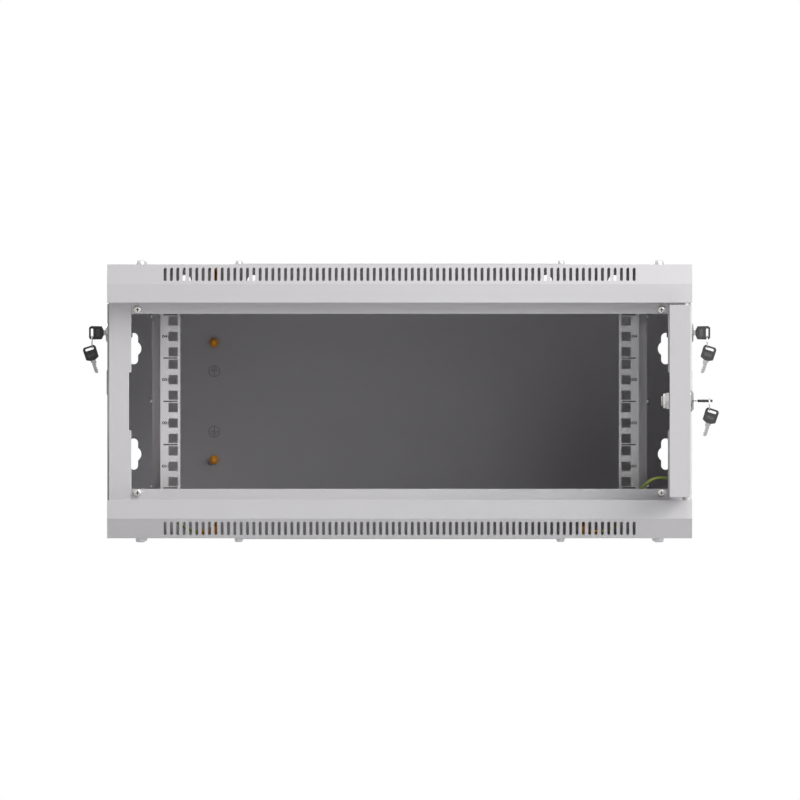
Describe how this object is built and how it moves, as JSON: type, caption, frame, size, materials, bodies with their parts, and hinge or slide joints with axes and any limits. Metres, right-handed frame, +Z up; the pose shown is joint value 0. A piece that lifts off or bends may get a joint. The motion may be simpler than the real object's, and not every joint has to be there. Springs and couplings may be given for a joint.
{
  "type": "wall mount network cabinet",
  "caption": "Wall mount 19 inch network cabinet in folded sheet steel with vented bevels, lockable side panels, sliding rails and a hinged glass door standing open.",
  "frame": {"origin": "middle of the rear panel's back face, on the wall", "axes": "+X to the right seen from the front, +Y into the wall, +Z up; the front faces are at y = -0.45 m and the door is open by 89.56 degrees at rest"},
  "size_m": [0.6538, 1.0382, 0.29],
  "materials": {
    "cabinet_paint": "light grey powder coat, fine texture",
    "zinc": "bright zinc plate",
    "nickel": "nickel plate",
    "brass": "plain brass",
    "glass": "clear toughened glass",
    "tape": "black foam bonding tape",
    "nylon": "natural nylon",
    "earth_wire": "green insulation with a yellow stripe"
  },
  "bodies": {
    "cabinet": {"top_panel": "cabinet_paint", "bottom_panel": "cabinet_paint", "top_cable_cover": "cabinet_paint", "bottom_cable_cover": "cabinet_paint", "rear_panel": "cabinet_paint", "front_post_left": "cabinet_paint", "front_post_right": "cabinet_paint", "depth_bar_top_left": "cabinet_paint", "depth_bar_top_right": "cabinet_paint", "depth_bar_bottom_left": "cabinet_paint", "depth_bar_bottom_right": "cabinet_paint", "corner_brackets": "cabinet_paint", "deck_screws": "zinc", "cover_screws": "zinc", "band_screws": "zinc", "earth_studs": "brass", "earth_nuts": "brass", "lead_lugs": "brass", "earth_lead_right": "earth_wire", "earth_lead_left": "earth_wire"},
    "door": {"hinge_stile": "cabinet_paint", "lock_stile": "cabinet_paint", "door_glass": "glass", "glass_tape": "tape", "hinge_blocks": "zinc", "hinge_pin_lower": "zinc", "hinge_bush": "nylon", "door_lock_case": "nickel", "door_lock_nut": "nickel"},
    "upper_pin": {"hinge_pin_upper": "zinc"},
    "door_lock_barrel": {"door_lock_plug": "nickel", "door_lock_cam": "nickel", "door_lock_key": "nickel"},
    "door_ring_set": {"door_lock_ring": "nickel", "door_lock_spare_key": "nickel"},
    "side_panel_left": {"side_panel_left": "cabinet_paint", "side_lock_left_case": "nickel", "side_lock_left_nut": "nickel"},
    "side_lock_left_barrel": {"side_lock_left_plug": "nickel", "side_lock_left_cam": "nickel", "side_lock_left_key": "nickel"},
    "side_ring_set_left": {"side_lock_left_ring": "nickel", "side_lock_left_spare_key": "nickel"},
    "rail_set_left": {"rail_left": "cabinet_paint", "rail_backing_left": "zinc", "rail_screws_left": "zinc", "rail_clamps_left": "zinc"},
    "side_panel_right": {"side_panel_right": "cabinet_paint", "side_lock_right_case": "nickel", "side_lock_right_nut": "nickel"},
    "side_lock_right_barrel": {"side_lock_right_plug": "nickel", "side_lock_right_cam": "nickel", "side_lock_right_key": "nickel"},
    "side_ring_set_right": {"side_lock_right_ring": "nickel", "side_lock_right_spare_key": "nickel"},
    "rail_set_right": {"rail_right": "cabinet_paint", "rail_backing_right": "zinc", "rail_screws_right": "zinc", "rail_clamps_right": "zinc"}
  },
  "joints": [
    {"name": "door_hinge", "type": "hinge", "parent": "cabinet", "child": "door", "pos_m": [0.2942, -0.4456, 0], "axis": [0, 0, 1], "range_deg": [-89.56, 90.44]},
    {"name": "upper_pin_slide", "type": "slide", "parent": "door", "child": "upper_pin", "axis": [0, 0, -1], "range_m": [0, 0.006], "stiffness_N_per_m": 800},
    {"name": "door_lock_turn", "type": "hinge", "parent": "door", "child": "door_lock_barrel", "pos_m": [0.29418, -0.99482, 0.0005], "axis": [1, -0.0077, 0], "range_deg": [0, 180]},
    {"name": "door_ring_swing", "type": "hinge", "parent": "door_lock_barrel", "child": "door_ring_set", "pos_m": [0.31319, -1.00076, 0.0005], "axis": [1, -0.0077, 0], "range_deg": [-180, 0]},
    {"name": "side_panel_left_tilt", "type": "hinge", "parent": "cabinet", "child": "side_panel_left", "pos_m": [-0.3, -0.21575, -0.101], "axis": [0, -1, 0], "range_deg": [0, 15]},
    {"name": "side_lock_left_turn", "type": "hinge", "parent": "side_panel_left", "child": "side_lock_left_barrel", "pos_m": [-0.3, -0.21575, 0.0707], "axis": [1, 0, 0], "range_deg": [0, 90]},
    {"name": "side_ring_left_swing", "type": "hinge", "parent": "side_lock_left_barrel", "child": "side_ring_set_left", "pos_m": [-0.31725, -0.21575, 0.0649], "axis": [1, 0, 0], "range_deg": [-90, 0]},
    {"name": "rail_left_slide", "type": "slide", "parent": "cabinet", "child": "rail_set_left", "axis": [0, 1, 0], "range_m": [0, 0.2]},
    {"name": "side_panel_right_tilt", "type": "hinge", "parent": "cabinet", "child": "side_panel_right", "pos_m": [0.3, -0.21575, -0.101], "axis": [0, 1, 0], "range_deg": [0, 15]},
    {"name": "side_lock_right_turn", "type": "hinge", "parent": "side_panel_right", "child": "side_lock_right_barrel", "pos_m": [0.3, -0.21575, 0.0707], "axis": [1, 0, 0], "range_deg": [0, 90]},
    {"name": "side_ring_right_swing", "type": "hinge", "parent": "side_lock_right_barrel", "child": "side_ring_set_right", "pos_m": [0.31725, -0.21575, 0.0649], "axis": [1, 0, 0], "range_deg": [-90, 0]},
    {"name": "rail_right_slide", "type": "slide", "parent": "cabinet", "child": "rail_set_right", "axis": [0, 1, 0], "range_m": [0, 0.2]}
  ],
  "couplings": [
    {"joint": "door_ring_swing", "follows": "door_lock_turn", "ratio": -1},
    {"joint": "side_ring_left_swing", "follows": "side_lock_left_turn", "ratio": -1},
    {"joint": "side_ring_right_swing", "follows": "side_lock_right_turn", "ratio": -1}
  ]
}
